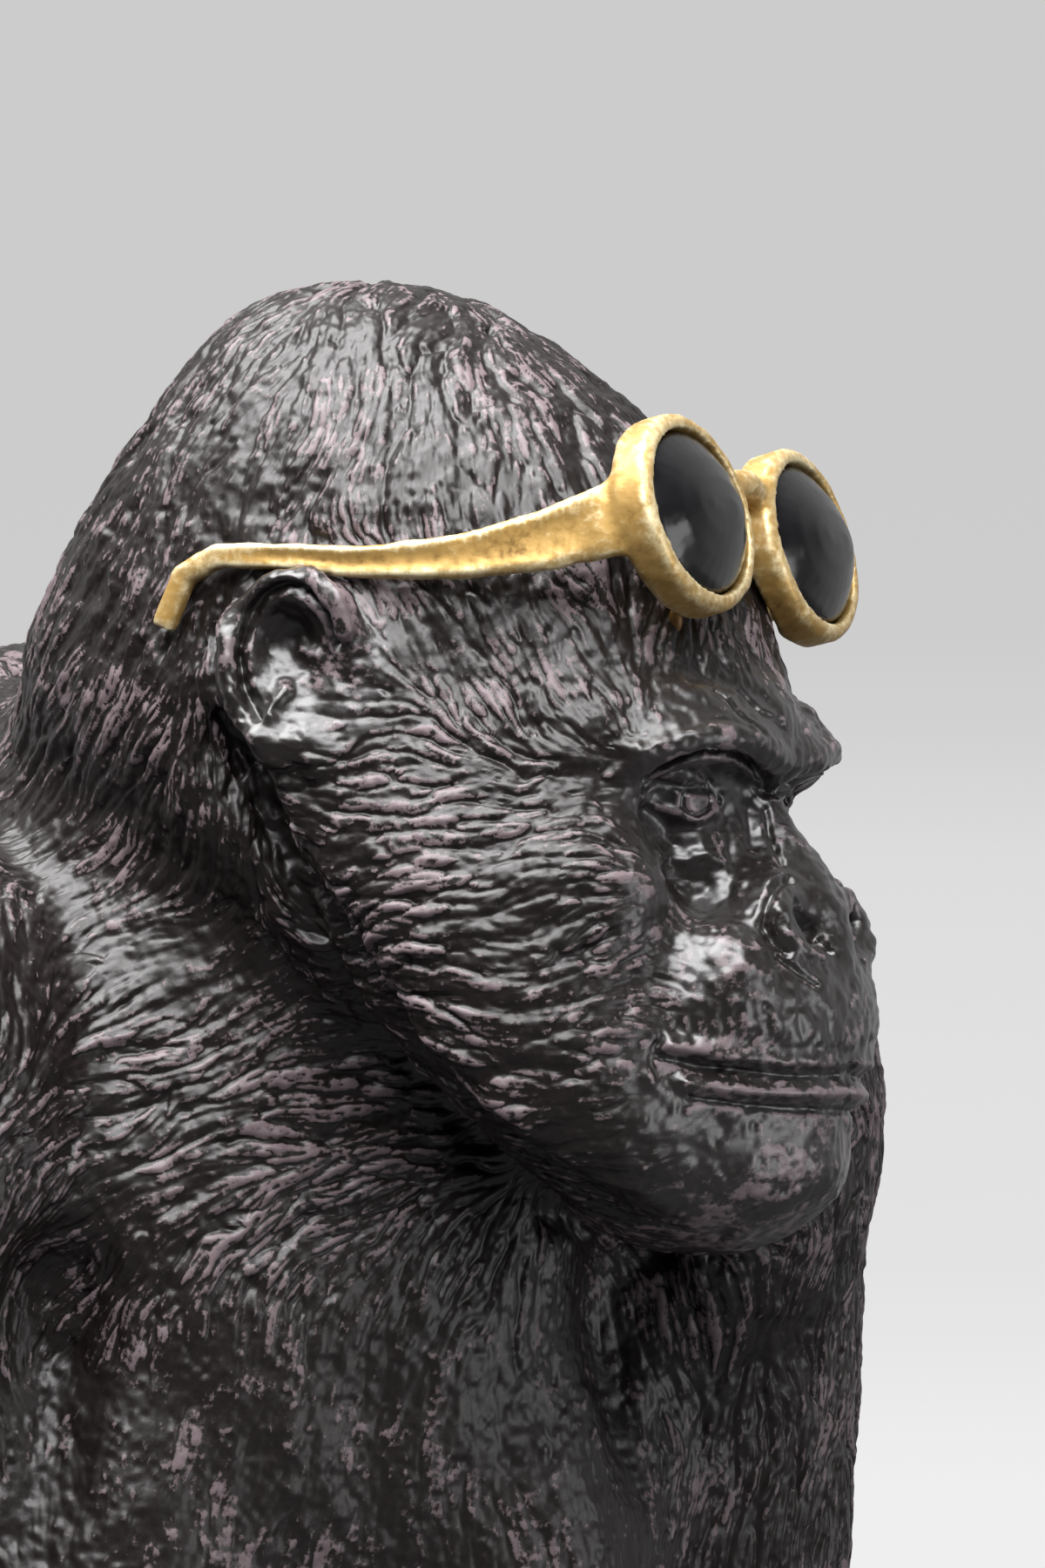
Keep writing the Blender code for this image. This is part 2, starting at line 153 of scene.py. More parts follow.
def relaxed(values, rounds, links):
    """Values on the vertices, each evened out with its neighbours' for a number of rounds."""
    edges, neighbours = links
    for _ in range(rounds):
        total = np.empty_like(values)
        for column in range(values.shape[1]):
            total[:, column] = np.bincount(edges[:, 0], values[edges[:, 1], column], len(values))
            total[:, column] += np.bincount(edges[:, 1], values[edges[:, 0], column], len(values))
        values = 0.5 * values + 0.5 * total / neighbours
    return values


def outward(rounds=0):
    """The surface's outward direction at each vertex, evened out."""
    clay.data.vertices.foreach_set("co", spots.ravel())
    clay.data.update()
    normals = points_of(clay.data, "vertex_normals", "vector")
    if rounds:
        normals = relaxed(normals, rounds, clay_links)
    return normals / np.maximum(np.linalg.norm(normals, axis=1), 1e-6)[:, None]


clay_links = links_of(clay.data)
spots = relaxed(points_of(clay.data), 5, clay_links)


# Face and ears
# The features were cut with small loop and knife tools, deeper than the hair, and smoothed by hand.
# Places are millimetres across and up in the view that meets the head's right side 65 degrees round.

ACROSS_FORWARD = 0.906
ACROSS_LEFT = 0.4226
TOOL_REACH = 85
WRINKLES = 12
near_head = np.nonzero(np.linalg.norm(in_head(spots), axis=1) < TOOL_REACH)[0]
head_out = outward(5)[near_head]
# How deep the tools cut at each vertex, kept to paint shade into the hollows and creases
dug_shade = np.zeros(len(spots), dtype=np.float32)


def met(across, up):
    """The skin place met at so many millimetres across and up: out from the middle, forward, and up."""
    left, forward, rise = in_head(spots[near_head]).T
    off = np.hypot(forward * ACROSS_FORWARD + left * ACROSS_LEFT - across, rise - up)
    toward = forward * ACROSS_LEFT - left * ACROSS_FORWARD
    # Of the vertices within half a millimetre, the one nearest the eye
    hit = np.argmax(toward - 1000 * np.maximum(off, 0.5))
    return np.array((abs(left[hit]), forward[hit], rise[hit]))


def tool(depth, width, *places, knife=False):
    """A stroke of the tool on both sides of the head, cut in or, where the depth is negative, built up. How
    deep it cuts is kept as a mask for painted shade.
    """
    local = in_head(spots[near_head])
    local[:, 0] = np.abs(local[:, 0])
    path = [met(*place) for place in places]
    nearest = np.full(len(local), 99.0)
    for start, end in zip(path, path[1:] or path):
        run = end - start
        share = np.clip((local - start) @ run / max(run @ run, 1e-9), 0, 1)
        nearest = np.minimum(nearest, np.linalg.norm(local - start - share[:, None] * run, axis=1))
    if knife:
        push = depth * np.clip(1 - nearest / width, 0, 1) ** 1.4
    else:
        push = depth * np.exp(-((nearest / width) ** 2))
    spots[near_head] -= head_out * push[:, None].astype(np.float32) * np.float32(0.001)
    dug_shade[near_head] += np.maximum(push, 0)


# Forehead and brow: hollow under the hair line, folds over the hood, the hood and its hanging edge
tool(0.9, 2.0, (36, 12.0), (41, 10.6), (46, 9.3), (52, 9.0))
tool(0.7, 0.9, (39.2, 9.4), (42.0, 6.6), (44.9, 3.9), knife=True)
tool(0.6, 0.9, (42.5, 9.8), (45.5, 7.0), (48.5, 5.2), knife=True)
tool(-1.7, 2.3, (29.5, 0.3), (33.5, 1.9), (38.4, 3.2), (43.5, 2.6), (48.5, 0.4))
tool(0.35, 0.9, (25.0, 1.9), (30.0, 2.6), (35.0, 4.4), (40.0, 5.4), (44.0, 4.6), knife=True)
tool(1.3, 1.7, (38.5, -2.2), (42.0, -3.0), (45.0, -4.6))
tool(
    2.4, 1.2, (30.6, -3.3), (32.9, -1.8), (35.4, -0.6), (38.4, 0.2), (41.3, 0.0), (43.4, -0.8), (45.5, -2.0),
    (48.0, -3.4), (49.8, -4.3), knife=True,
)
# Eye: the ball, the upper lid, the iris, the lower lid and the crease beside it
tool(-1.7, 3.0, (35.8, -4.4))
tool(0.9, 0.7, (30.8, -4.0), (32.9, -2.8), (35.4, -2.0), (37.7, -1.9), (39.2, -2.8), (40.4, -4.8), knife=True)
iris = (37.2, -5.2)
iris_radius = 2.0
turns = [step * math.pi / 6 for step in range(13)]
iris_edge = [(iris[0] + iris_radius * math.cos(a), iris[1] + iris_radius * math.sin(a)) for a in turns]
tool(0.7, 0.7, *iris_edge, knife=True)
tool(0.4, 1.5, iris)
tool(-0.6, 0.8, (29.8, -4.9), (31.7, -6.4), (34.2, -7.2), (37.1, -7.3), (39.6, -6.1))
tool(0.5, 1.0, (30.7, -7.2), (33.5, -8.8), (37.1, -9.0), (40.2, -7.6))
tool(-0.4, 1.0, (29.2, -4.3), (29.5, -7.9), (31.5, -11.2))
# Hollow under the eye with its bag, and the side of the nose
tool(1.7, 2.7, (34.6, -11.0), (35.2, -15.0), (37.4, -17.0))
tool(-0.7, 0.9, (35.6, -12.6), (38.4, -11.8), (40.6, -12.6))
tool(0.5, 1.1, (41.3, -6.6), (41.8, -12.0), (40.8, -17.0))
tool(0.35, 0.8, (43.9, -6.0), (44.5, -10.4))
tool(0.6, 0.8, (46.4, -5.4), (46.9, -8.7), (48.3, -12.8), knife=True)
# Nose: the wing with its groove, and the nostril with its lower rim
tool(
    1.1, 1.1, (49.6, -14.6), (47.4, -15.6), (45.9, -18.0), (45.7, -20.8), (47.0, -23.3), (49.0, -24.8),
    knife=True,
)
tool(-1.0, 2.2, (48.0, -19.4))
tool(2.8, 1.1, (50.8, -19.6), (52.3, -21.6))
tool(1.2, 0.7, (50.2, -18.2), (53.4, -22.6), (55.0, -24.0), knife=True)
tool(-0.8, 0.8, (49.2, -22.4), (51.2, -24.2), (53.6, -25.2))
tool(0.7, 0.8, (47.6, -25.2), (50.5, -27.0), (53.2, -29.0), knife=True)
# Muzzle: swelling, upright wrinkles over the lip, the lip's ledge, the mouth and the lower lip
tool(-1.7, 5.5, (42.0, -24.0))
for step in range(WRINKLES):
    at = 34.6 + 2.0 * step
    low = -35.6 - 0.35 * (step % 3)
    tool(0.16, 0.6, (at, low + 3.4 + step % 2), (at + 0.5, low))
tool(-1.1, 1.1, (34.0, -37.4), (39.0, -38.2), (43.3, -38.6), (52.0, -38.8), (58.0, -38.5))
tool(0.8, 0.8, (32.6, -38.8), (38.0, -40.1), (43.3, -40.6), (50.0, -40.9), (58.5, -40.6), knife=True)
tool(-1.5, 1.2, (36.0, -42.0), (45.0, -42.8), (53.0, -43.0), (58.0, -42.8))
tool(0.9, 0.9, (37.0, -44.0), (45.0, -45.0), (53.0, -45.2), (57.0, -45.0), knife=True)
tool(0.5, 0.8, (33.2, -36.0), (31.8, -38.6), (32.4, -41.4), knife=True)
tool(-0.8, 1.3, (31.6, -41.6))
# Jaw: the deep crease from the ear round under the cheek, with the edge of the jaw standing over it
tool(-1.0, 2.2, (-20.5, 2.0), (-15.5, -10.0), (-11.0, -20.0), (-4.5, -29.5), (4.0, -38.0), (14.5, -48.0))
tool(
    2.0, 2.2, (-24.0, 3.0), (-19.0, -10.0), (-14.5, -21.0), (-8.0, -32.0), (-1.0, -40.0), (10.0, -50.5),
    (20.0, -59.5), (34.0, -65.5),
)
# Ear: the rolled rim, the groove inside it, the bowl with its fold, and the groove behind
tool(
    -1.2, 1.3, (-9.0, 15.0), (-9.8, 19.0), (-12.8, 22.4), (-17.0, 24.2), (-21.4, 23.3), (-24.2, 19.5),
    (-25.1, 14.3), (-24.9, 9.5), (-23.3, 4.3), (-21.0, 1.0),
)
tool(
    1.7, 1.3, (-10.8, 13.4), (-12.2, 17.0), (-14.4, 19.6), (-17.4, 20.9), (-20.4, 19.7), (-22.1, 17.0),
    (-22.5, 12.7), (-21.9, 8.2), (-20.4, 4.6), knife=True,
)
tool(2.0, 3.4, (-17.2, 14.5))
tool(-1.0, 1.0, (-15.2, 13.4), (-13.0, 12.6))
tool(-1.6, 1.3, (-16.6, 8.0), (-18.8, 4.6))
tool(1.3, 1.1, (-27.3, 16.0), (-27.2, 10.0), (-25.6, 4.0), (-22.4, -2.2), knife=True)
spots = relaxed(spots, 1, clay_links)


# Coat
# Rows of tufts lie the way the hair grows. Each is a narrow mound with a knife-cut edge, and fine
# tool marks run along it.

TUFT_HEIGHT = 0.0020
SKIN_LEVEL = 0.72
FINE_CRINKLE = 0.00009
COARSE_CRINKLE = 0.00016
BRUSHED_HUMP = 0.00022
# How far apart the tufts are, half their length and half their width
CROWN_TUFTS = (0.0050, 0.0066, 0.00200)
CHEEK_TUFTS = (0.0032, 0.0038, 0.00125)
NECK_TUFTS = (0.0040, 0.0072, 0.00150)
BODY_TUFTS = (0.0056, 0.0090, 0.00250)
TOOL_MARKS = (0.0015, 0.0026, 0.00055)
lattice = np.random.default_rng(7).standard_normal((64, 64, 64)).astype(np.float32)
anchors = np.random.default_rng(11).random((64, 64, 64, 4)).astype(np.float32)


def mottle(places, size, offset=0.0):
    """A smooth random field with grains of a size in metres."""
    scaled = places / np.float32(size) + np.float32(offset)
    cell = np.floor(scaled).astype(np.int32)
    part = scaled - cell
    part = part * part * (3 - 2 * part)
    total = np.zeros(len(places), dtype=np.float32)
    for dx in (0, 1):
        for dy in (0, 1):
            for dz in (0, 1):
                corner = lattice[(cell[:, 0] + dx) & 63, (cell[:, 1] + dy) & 63, (cell[:, 2] + dz) & 63]
                weight = np.abs(1 - dx - part[:, 0]) * np.abs(1 - dy - part[:, 1])
                weight = weight * np.abs(1 - dz - part[:, 2])
                total += corner * weight
    return total


def tufts(places, out, way, cell, half_length, half_width):
    """Heights from 0 to 1 of overlapping tufts that lie along the way, and each tuft's own chance number."""
    height = np.zeros(len(places), dtype=np.float32)
    chance = np.zeros(len(places), dtype=np.float32)
    thick = np.float32(0.9 * cell)
    at_once = 40000
    for first in range(0, len(places), at_once):
        some = slice(first, first + at_once)
        scaled = places[some] / np.float32(cell)
        home = np.floor(scaled).astype(np.int32)
        inside = scaled - home
        top, number = height[some], chance[some]
        for step in itertools.product(range(-2, 3), repeat=3):
            spot = anchors[tuple(((home + np.array(step, dtype=np.int32)) & 63).T)]
            gap = (inside - spot[:, :3] - np.array(step, dtype=np.float32)) * np.float32(cell)
            along = np.einsum("ij,ij->i", gap, way[some])
            off = np.einsum("ij,ij->i", gap, out[some])
            near = np.nonzero((np.abs(along) < half_length) & (np.abs(off) < thick))[0]
            along, off, gap = along[near], off[near], gap[near]
            aside = np.sqrt(np.maximum(np.einsum("ij,ij->i", gap, gap) - along**2 - off**2, 0)) / half_width
            along = along / half_length
            taper = 1 - along * along
            swell = 1 - (aside / (0.05 + 0.95 * taper**0.6)) ** 2.5
            mound = swell * (0.62 + 0.38 * spot[near, 3]) * (0.88 + 0.12 * along) * taper**0.3
            mound *= 1 - (off / thick) ** 2
            higher = mound > top[near]
            top[near[higher]] = mound[higher]
            number[near[higher]] = spot[near[higher], 3]
    return height, chance


# Comb strokes: a place in millimetres, left, forward and up in the head, and the way the hair lies there
head_combs = (
    ((0, -10, 66), (-1.0, 0.0, -0.1)),
    ((-20, -10, 60), (-0.7, -0.1, -1.0)),
    ((-22, 12, 54), (-0.4, 0.2, -1.0)),
    ((-34, -5, 40), (0.0, -0.1, -1.0)),
    ((-34, 20, 36), (0.0, 0.15, -1.0)),
    ((-28, 34, 36), (0.0, 0.3, -1.0)),
    ((-28, -32, 46), (0.0, -0.6, -1.0)),
    ((-36, -44, 24), (0.0, -0.8, -1.0)),
    ((0, -50, 34), (0.0, -0.7, -1.0)),
    ((-20, 44, 22), (-0.2, 0.25, -1.0)),
    ((0, 50, 22), (-0.1, 0.1, -1.0)),
    ((-36, 24, 14), (0.0, 0.5, -0.8)),
    ((-42, 14, -2), (0.0, 1.0, -0.05)),
    ((-42, 22, -18), (0.0, 1.0, 0.15)),
    ((-32, 38, -16), (0.3, 1.0, 0.2)),
    ((-42, 14, -34), (0.0, 1.0, 0.1)),
    ((-38, 34, -36), (0.3, 1.0, 0.0)),
    ((-34, 30, -52), (0.2, 1.0, -0.1)),
    ((-20, 46, -60), (0.6, 0.8, 0.1)),
)
# The same for the body and throat, with places in the part's own axes
body_combs = (
    ((-40, -85, 325), (-0.75, 0.45, -0.5)),
    ((-30, -90, 300), (-0.80, 0.40, -0.45)),
    ((-50, -60, 318), (-0.75, 0.55, -0.45)),
    ((0, -50, 345), (-0.1, 0.95, 0.1)),
    ((-26, -128, 225), (-0.1, 0.0, -1.0)),
    ((-60, -105, 300), (-0.45, 0.2, -0.9)),
    ((-80, -95, 280), (-0.25, 0.1, -1.0)),
    ((-90, -95, 240), (-0.05, 0.1, -1.0)),
    ((-60, -120, 240), (0.0, 0.0, -1.0)),
    ((-90, -90, 160), (0.0, 0.25, -1.0)),
    ((-60, -100, 100), (0.0, 0.15, -1.0)),
    ((-60, -100, 50), (0.0, -0.1, -1.0)),
    ((-20, 0, 340), (-0.25, 1.0, -0.2)),
    ((-68, 0, 270), (-0.1, 0.8, -0.75)),
    ((-70, 40, 210), (0.0, 0.8, -0.8)),
    ((-20, 80, 300), (-0.3, 1.0, -0.4)),
    ((0, 20, 160), (0.0, 1.0, -0.1)),
    ((-60, 120, 230), (-0.1, 0.6, -1.0)),
    ((0, 175, 220), (-0.1, 0.2, -1.0)),
    ((-90, 110, 150), (0.0, -0.1, -1.0)),
    ((-95, 60, 110), (0.0, 0.1, -1.0)),
    ((-70, 120, 50), (0.0, 0.3, -1.0)),
    ((-70, 60, 20), (0.0, -1.0, -0.2)),
)
throat_combs = (
    ((-30, -118, 288), (-0.80, 0.35, -0.40)),
    ((-24, -120, 274), (-0.85, 0.25, -0.35)),
    ((-4, -124, 276), (-0.95, 0.10, -0.05)),
    ((8, -126, 272), (-0.95, 0.00, 0.15)),
    ((10, -128, 258), (-0.65, 0.00, -0.75)),
    ((-28, -122, 254), (-0.55, 0.15, -0.80)),
    ((25, -129, 254), (-0.05, 0.00, -1.0)),
    ((0, -130, 240), (-0.20, 0.00, -1.0)),
    ((40, -124, 268), (0.75, 0.30, -0.30)),
    ((48, -118, 252), (0.40, 0.20, -0.90)),
)
combs = []
head_axes = np.array(HEAD_PLACE.to_3x3(), dtype=np.float32)
for (left, forward, up), (to_left, on, rise) in head_combs:
    for side in (1, -1):
        place = head_axes @ np.array((side * left, -forward, up)) * 0.001 + np.array(HEAD_MIDDLE)
        combs.append((place, head_axes @ np.array((side * to_left, -on, rise)), 0.016))
for place, way in throat_combs:
    combs.append((np.array(place) * 0.001, np.array(way), 0.017))
for place, way in body_combs:
    for side in (1, -1):
        mirror = np.array((side, 1, 1))
        combs.append((np.array(place) * 0.001 * mirror, np.array(way) * mirror, 0.024))

skin_out = outward(12)
lie = np.zeros_like(spots)
for place, way, spread in combs:
    away = ((spots - place.astype(np.float32)) ** 2).sum(axis=1)
    pull = 1.0 / (away / spread**2 + 0.15) ** 2.2
    lie += pull[:, None].astype(np.float32) * (way / np.linalg.norm(way)).astype(np.float32)
lie -= skin_out * (lie * skin_out).sum(axis=1)[:, None]
lie /= np.maximum(np.linalg.norm(lie, axis=1), 1e-9)[:, None]
aslant = np.cross(skin_out, lie)
waver = mottle(spots, 0.009, 11.3) * 0.30 + mottle(spots, 0.004, 5.1) * 0.16
lie = lie * np.cos(waver)[:, None] + aslant * np.sin(waver)[:, None]

# Where the skin is bare: the face inside the hair line, the ears, and the hands and feet
local = in_head(spots)
from_middle = np.linalg.norm(local, axis=1)
left, forward, up = np.abs(local[:, 0]), local[:, 1], local[:, 2]
face_across = forward * ACROSS_FORWARD - left * ACROSS_LEFT
hair_line = 47 - 5 * np.exp(-(((up + 4) / 9) ** 2)) - 2 * ramp(-40, -60, up)
bare = ramp(-3, 3, forward - hair_line + 1.5 * mottle(spots, 0.006, 3.3))
bare = bare * ramp(16, 9, up) * ramp(40, 30, left)
ear_away = np.sqrt((left - 42) ** 2 + (forward - 1) ** 2 + (up - 11) ** 2)
bare = np.maximum(bare, 0.75 * ramp(15, 11, ear_away))
hands = ramp(0.036, 0.022, spots[:, 2]) * ramp(0.01, -0.01, spots[:, 1])
feet = ramp(0.020, 0.012, spots[:, 2]) * ramp(0.09, 0.06, spots[:, 1])
bare = np.maximum(bare, np.maximum(hands, feet))

# Where the coat was rubbed smoother: the breast, a patch on the nape, and the temples
across = (spots - np.array(HEAD_MIDDLE)) @ np.array(right) * 1000
rise = (spots[:, 2] - HEAD_MIDDLE.z) * 1000
breast = ramp(-64, -84, rise) * ramp(-0.07, -0.09, spots[:, 1]) * ramp(52, 44, np.abs(spots[:, 0] * 1000))
nape = np.exp(-(((across + 30) / 9) ** 2) - ((rise + 27) / 7) ** 2) * ramp(0.0, -0.02, spots[:, 0])
temple = np.exp(-(((face_across - 9.4) / 16) ** 2) - ((up - 14) / 8) ** 2)
smoothed = np.maximum(np.maximum(0.75 * breast, 0.85 * nape), 0.5 * temple)

# Rows of tufts, in four sizes over the head, neck and body, with fine marks on what is shown
coat_out = outward(3)
finely = ramp(0.13, 0.09, np.linalg.norm(spots - np.array(HEAD_MIDDLE, dtype=np.float32), axis=1))
finely = np.maximum(finely, ramp(-0.02, -0.05, spots[:, 1]) * ramp(0.18, 0.21, spots[:, 2]))
mounds, chance, marks = np.zeros((3, len(spots)), dtype=np.float32)
on_crown = ramp(80, 68, from_middle) * ramp(4, 16, up)
on_cheek = ramp(80, 68, from_middle) * ramp(-24, -8, forward + 0.3 * up) * (1 - on_crown)
on_neck = (1 - on_crown - on_cheek) * finely
for share, sizes in (
    (on_crown, CROWN_TUFTS),
    (on_cheek, CHEEK_TUFTS),
    (on_neck, NECK_TUFTS),
    (1 - on_crown - on_cheek - on_neck, BODY_TUFTS),
):
    part = np.nonzero(share > 0.001)[0]
    height, number = tufts(spots[part], coat_out[part], lie[part], *sizes)
    mounds[part] += share[part] * height
    chance[part] += share[part] * number
part = np.nonzero(finely > 0)[0]
marks[part], _ = tufts(spots[part], coat_out[part], lie[part], *TOOL_MARKS)
relief = 0.80 * mounds + 0.20 * marks
unevenly = 0.75 + 0.25 * np.tanh(1.5 * mottle(spots, 0.012, 8.8))
depth = TUFT_HEIGHT * (1 - 0.95 * bare) * (1 - smoothed) * unevenly * (1.25 - 0.25 * finely)
crinkle = FINE_CRINKLE * mottle(spots, 0.0011, 2.2) + COARSE_CRINKLE * mottle(spots, 0.0027, 6.2)
crinkle *= ramp(2.5, 6.0, np.hypot(face_across - 36.5, up + 5.2))
spots = spots + coat_out * ((relief - SKIN_LEVEL) * depth + crinkle)[:, None]
finished_out = outward(0)
hump = ((spots - relaxed(spots, 4, clay_links)) * coat_out).sum(axis=1)
# Less mauve is dragged over the cheeks, and a little less over the neck, so they stay darker
raised = np.clip(0.5 + hump / BRUSHED_HUMP, 0, 1) - 0.10 * on_cheek - 0.05 * on_neck


# Paint on the casting
# A near-black lacquer covers the casting. Mauve grey was dragged over the raised hair with a nearly dry
# brush, so it stops in ragged flakes. A satin varnish was sprayed over both, thickest on the bare skin.

LACQUER_DEEP = "#090706"
LACQUER_WORN = "#1c1615"
MAUVE_THIN = "#3a2f32"
MAUVE_THICK = "#786a6e"


def painted(name, add):
    """A new material, with its nodes added by a function."""
    material = bpy.data.materials.new(name)
    material.use_nodes = True
    tree = material.node_tree
    tree.nodes.clear()
    add(tree)
    return material


def linear(code):
    """An sRGB hex colour as linear light."""
    parts = [int(code[i : i + 2], 16) / 255 for i in (1, 3, 5)]
    return [p / 12.92 if p <= 0.04045 else ((p + 0.055) / 1.055) ** 2.4 for p in parts] + [1.0]


def node(tree, kind, settings=None, links=None):
    """A node with its settings and its links."""
    made = tree.nodes.new(kind)
    for key, value in (settings or {}).items():
        if isinstance(key, str) and hasattr(made, key):
            setattr(made, key, value)
        else:
            made.inputs[key].default_value = value
    for key, source in (links or {}).items():
        tree.links.new(source, made.inputs[key])
    return made


def grain(tree, place, size_mm, detail, roughness=0.5):
    """Noise with grains of a real size, about 0 to 1."""
    settings = {"Scale": 1000 / size_mm, "Detail": detail, "Roughness": roughness}
    return node(tree, "ShaderNodeTexNoise", settings, {"Vector": place}).outputs["Fac"]


def weighted(tree, terms, start):
    """A sum of sources, each times its weight, from a starting value."""
    total = None
    for weight, source in terms:
        links = {0: source}
        if total is not None:
            links[2] = total
        settings = {"operation": "MULTIPLY_ADD", 1: weight, 2: start}
        total = node(tree, "ShaderNodeMath", settings, links).outputs[0]
    return total


def stepped(tree, source, low, high, to_low=0.0, to_high=1.0):
    """A source's range from low to high, mapped smoothly on another range."""
    settings = {
        "interpolation_type": "SMOOTHSTEP",
        "From Min": low,
        "From Max": high,
        "To Min": to_low,
        "To Max": to_high,
    }
    return node(tree, "ShaderNodeMapRange", settings, {"Value": source}).outputs["Result"]


def mixed_colour(tree, share, low, high):
    """Two colours, each a hex code or a socket, mixed by a share."""
    made = node(tree, "ShaderNodeMix", {"data_type": "RGBA"}, {0: share})
    for slot, colour in ((6, low), (7, high)):
        if isinstance(colour, str):
            made.inputs[slot].default_value = linear(colour)
        else:
            tree.links.new(colour, made.inputs[slot])
    return made.outputs[2]


def resin_paint(tree):
    """Lacquer, dry-brushed mauve where the cover is over a threshold, painted shade that keeps the mauve out
    of the tool-cut hollows, and satin varnish.
    """
    raised_at = node(tree, "ShaderNodeAttribute", {"attribute_name": "raised"}).outputs["Fac"]
    bare_at = node(tree, "ShaderNodeAttribute", {"attribute_name": "bare"}).outputs["Fac"]
    dug_shade_at = node(tree, "ShaderNodeAttribute", {"attribute_name": "dug_shade"}).outputs["Fac"]
    chance_at = node(tree, "ShaderNodeAttribute", {"attribute_name": "chance"}).outputs["Fac"]
    place = node(tree, "ShaderNodeTexCoord").outputs["Object"]
    patch = grain(tree, place, 14.0, 2.0)
    flake = grain(tree, place, 2.6, 6.0, 0.65)
    speck = grain(tree, place, 0.7, 4.0, 0.7)
    # Less mauve where the tools cut deep: painted shade in the hollows and creases
    cover = weighted(
        tree,
        (
            (0.9, raised_at),
            (1.1, patch),
            (1.1, flake),
            (0.5, speck),
            (0.25, chance_at),
            (0.06, bare_at),
            (-0.25, dug_shade_at),
        ),
        -1.49,
    )
    brushed = stepped(tree, cover, 0.55, 0.75)
    dark = mixed_colour(tree, speck, LACQUER_DEEP, LACQUER_WORN)
    pale = mixed_colour(tree, flake, MAUVE_THIN, MAUVE_THICK)
    colour = mixed_colour(tree, brushed, dark, pale)
    rough = weighted(tree, ((0.12, brushed), (0.22, speck), (-0.06, bare_at)), 0.30)
    varnish = weighted(tree, ((0.50, bare_at),), 0.18)
    shine = weighted(tree, ((0.20, bare_at),), 0.34)
    crackle = grain(tree, place, 0.45, 5.0, 0.6)
    bumped = node(
        tree, "ShaderNodeBump", {"Strength": 0.22, "Distance": 0.00012}, {"Height": crackle}
    ).outputs["Normal"]
    surface = node(
        tree, "ShaderNodeBsdfPrincipled", {"Coat Roughness": 0.33},
        {
            "Base Color": colour,
            "Roughness": rough,
            "Coat Weight": varnish,
            "Specular IOR Level": shine,
            "Normal": bumped,
            "Coat Normal": bumped,
        },
    )
    node(tree, "ShaderNodeOutputMaterial", {}, {"Surface": surface.outputs[0]})


resin = painted("dry_brushed_cast_resin", resin_paint)

# One casting, kept as sheets of one surface because each has to stay light: a later line takes
# its sheet from the ones before it
corners = np.empty(len(clay.data.loops), dtype=np.int32)
clay.data.loops.foreach_get("vertex_index", corners)
starts = np.empty(len(clay.data.polygons), dtype=np.int32)
clay.data.polygons.foreach_get("loop_start", starts)
counts = np.empty(len(clay.data.polygons), dtype=np.int32)
clay.data.polygons.foreach_get("loop_total", counts)
middle = np.add.reduceat(spots[corners], starts, axis=0) / counts[:, None]
to_left, ahead, above = in_head(middle.astype(np.float32)).T
in_ball = to_left**2 + ahead**2 + above**2 < 70**2
x, y, z = middle.T
front = y < -0.03
sheets = {
    "coat_trunk": (y >= -0.03) & (y < 0.03),
    "coat_right_haunch": (y >= 0.03) & (x < 0),
    "coat_left_haunch": (y >= 0.03) & (x >= 0),
    "coat_forearms": front & (z < 0.208),
    "coat_breast": front & (z >= 0.208) & (np.abs(x) <= 0.034),
    "coat_right_shoulder": front & (z >= 0.208) & (x < -0.034),
    "coat_left_arm": front & (z >= 0.208) & (x > 0.034),
    "coat_left_shoulder": front & (z >= 0.262) & (x > 0.034),
    "coat_neck": front & (z >= 0.272) & (x < 0.034),
    "coat_left_cheek": in_ball & (to_left >= 0),
    "coat_left_crown": in_ball & (to_left >= 0) & (above > 10),
    "coat_right_ear": in_ball & (to_left < 0) & (ahead <= 4),
    "coat_right_cheek": in_ball & (to_left < 0) & (ahead > 4),
    "coat_right_brow": in_ball & (to_left < 0) & (ahead > 26) & (above <= 24),
    "coat_muzzle": in_ball & (to_left < 0) & (ahead > 26) & (above <= -14),
    "coat_crown": in_ball & (to_left < 0) & (above > 24),
}
sheet = np.zeros(len(middle), dtype=int)
for number, chosen in enumerate(sheets.values()):
    sheet[chosen] = number
for number, name in enumerate(sheets):
    chosen = np.nonzero(sheet == number)[0]
    sizes = counts[chosen]
    firsts = np.cumsum(sizes) - sizes
    order = np.repeat(starts[chosen] - firsts, sizes) + np.arange(sizes.sum())
    used, renumbered = np.unique(corners[order], return_inverse=True)
    mesh = bpy.data.meshes.new(name)
    mesh.vertices.add(len(used))
    mesh.vertices.foreach_set("co", spots[used].astype(np.float32).ravel())
    mesh.loops.add(len(order))
    mesh.loops.foreach_set("vertex_index", renumbered.astype(np.int32))
    mesh.polygons.add(len(chosen))
    mesh.polygons.foreach_set("loop_start", firsts.astype(np.int32))
    mesh.polygons.foreach_set("use_smooth", np.ones(len(chosen), dtype=bool))
    mesh.update(calc_edges=True)
    # The depth the tools cut goes with each sheet as the mask for painted shade
    for key, values in (("raised", raised), ("bare", bare), ("chance", chance), ("dug_shade", dug_shade)):
        mesh.attributes.new(key, "FLOAT", "POINT").data.foreach_set("value", values[used].astype(np.float32))
    mesh.normals_split_custom_set_from_vertices(finished_out[used].astype(np.float32))
    mesh.materials.append(resin)
    piece = bpy.data.objects.new(name, mesh)
    bpy.context.scene.collection.objects.link(piece)
    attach(piece, "root")
    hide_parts("gorilla")
bpy.data.objects.remove(clay)


# Glasses frame
# One small casting, cleaned up with a file and gilded by hand: soft edges, a shallow hollow along each
# temple between rolled edges, and thick gold paint in patchy, streaky tones, with a painted highlight in pale
# gold on what stands up and painted shade in brown in the corners.

